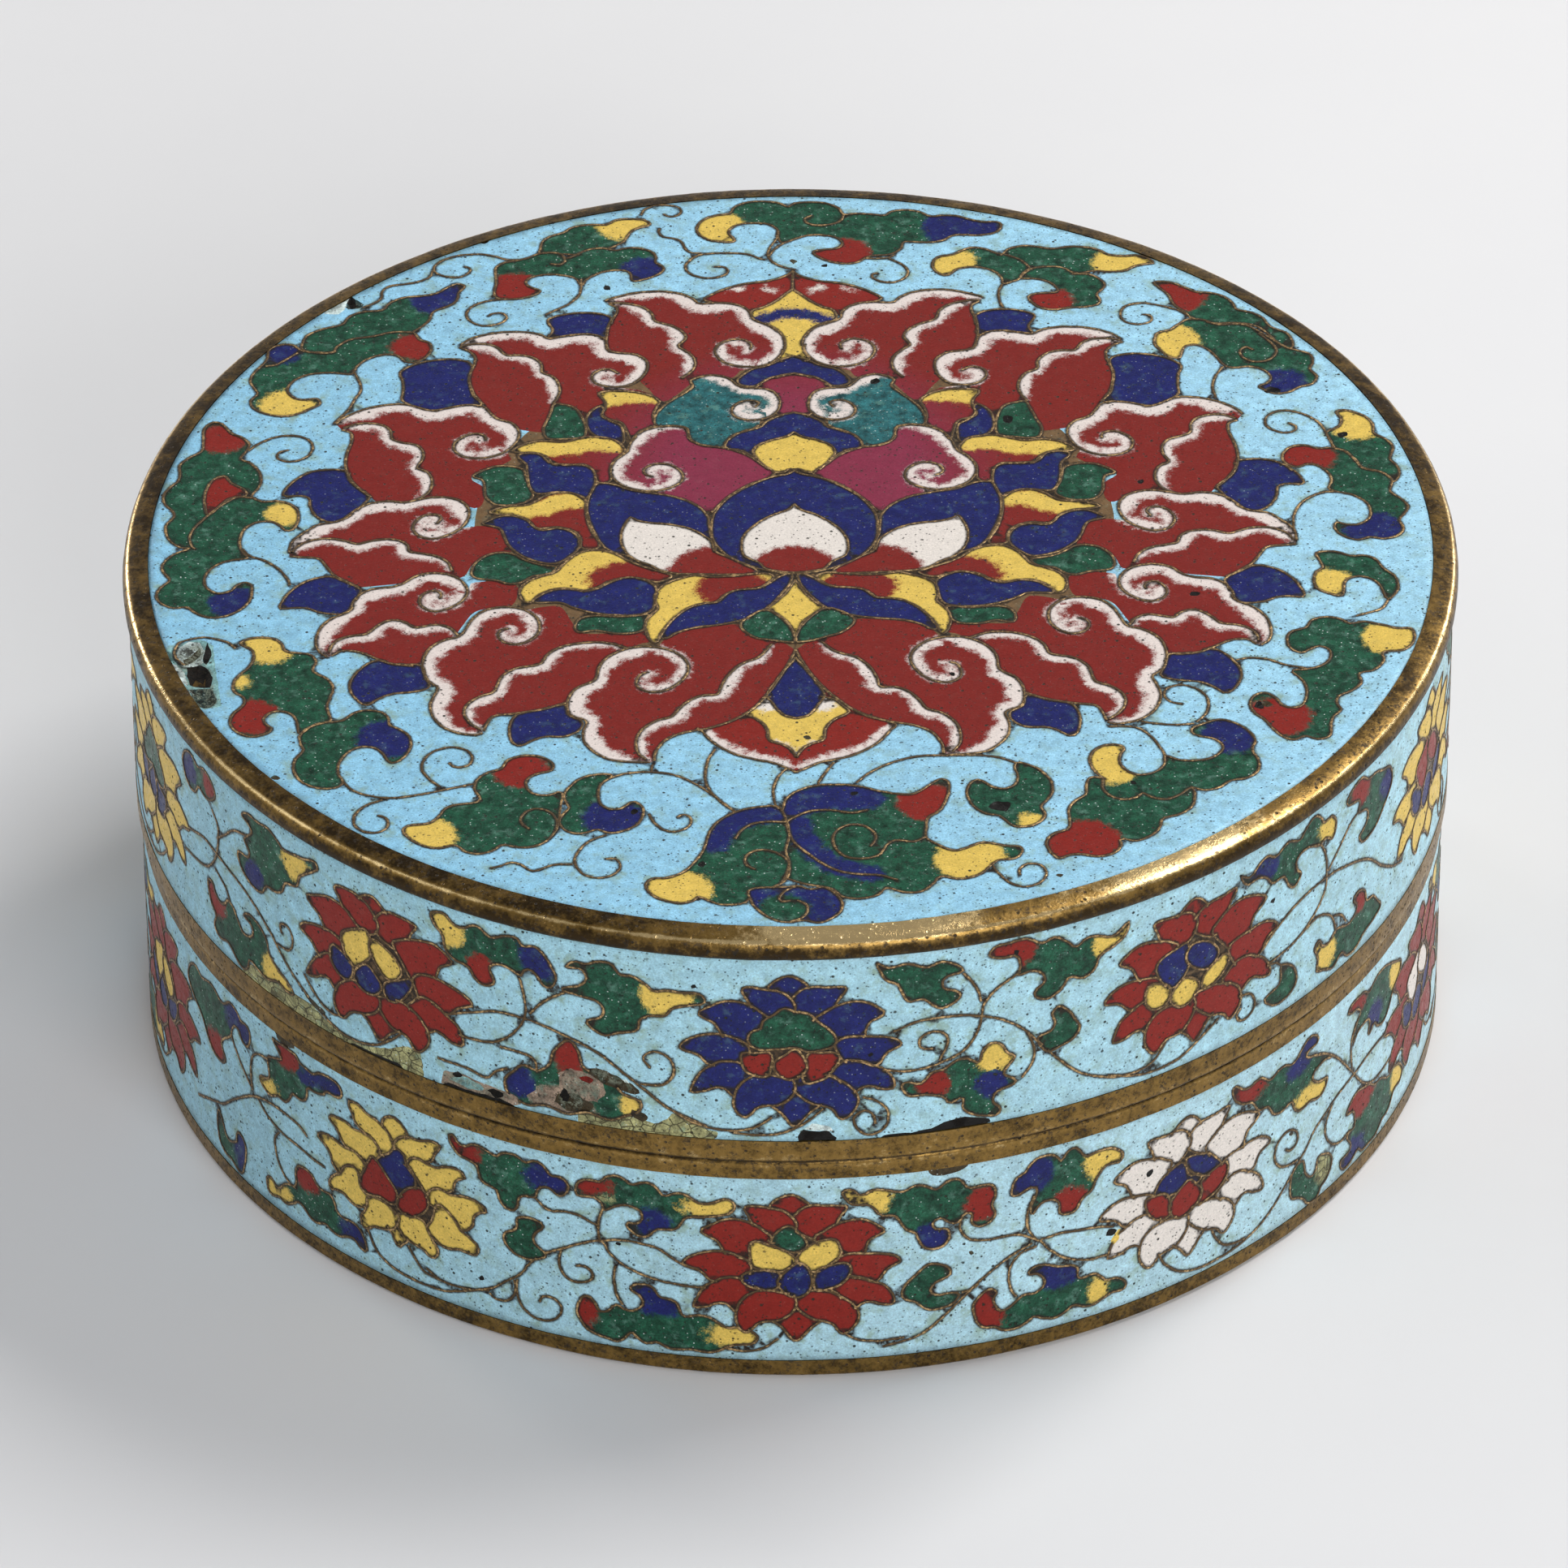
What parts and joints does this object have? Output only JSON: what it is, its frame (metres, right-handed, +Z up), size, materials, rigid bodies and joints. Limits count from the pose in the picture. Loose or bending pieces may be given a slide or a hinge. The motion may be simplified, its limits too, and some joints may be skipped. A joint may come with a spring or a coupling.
{
  "type": "cloisonne enamel box with lift-off cover",
  "caption": "Low round box with a lift-off cover: gilt bronze bodies, turquoise enamel fields with lotus scrolls, plain gilt bands.",
  "frame": {"origin": "centre of the foot's underside, on the box's axis", "axes": "+Z up along the box's axis, -Y towards the front, the side with the blue lotus on the cover's wall"},
  "size_m": [0.1248, 0.1248, 0.0503],
  "materials": {
    "gilt_bronze": "worn gilding over bronze, polished on the edges and brown in the hollows",
    "turquoise_enamel": "opaque polished enamel with fine pits"
  },
  "bodies": {
    "root": {"box_body": "gilt_bronze", "box_wall_enamel": "turquoise_enamel", "box_underside_enamel": "turquoise_enamel", "cover_body": "gilt_bronze", "cover_wall_enamel": "turquoise_enamel", "cover_top_enamel": "turquoise_enamel"}
  },
  "joints": []
}
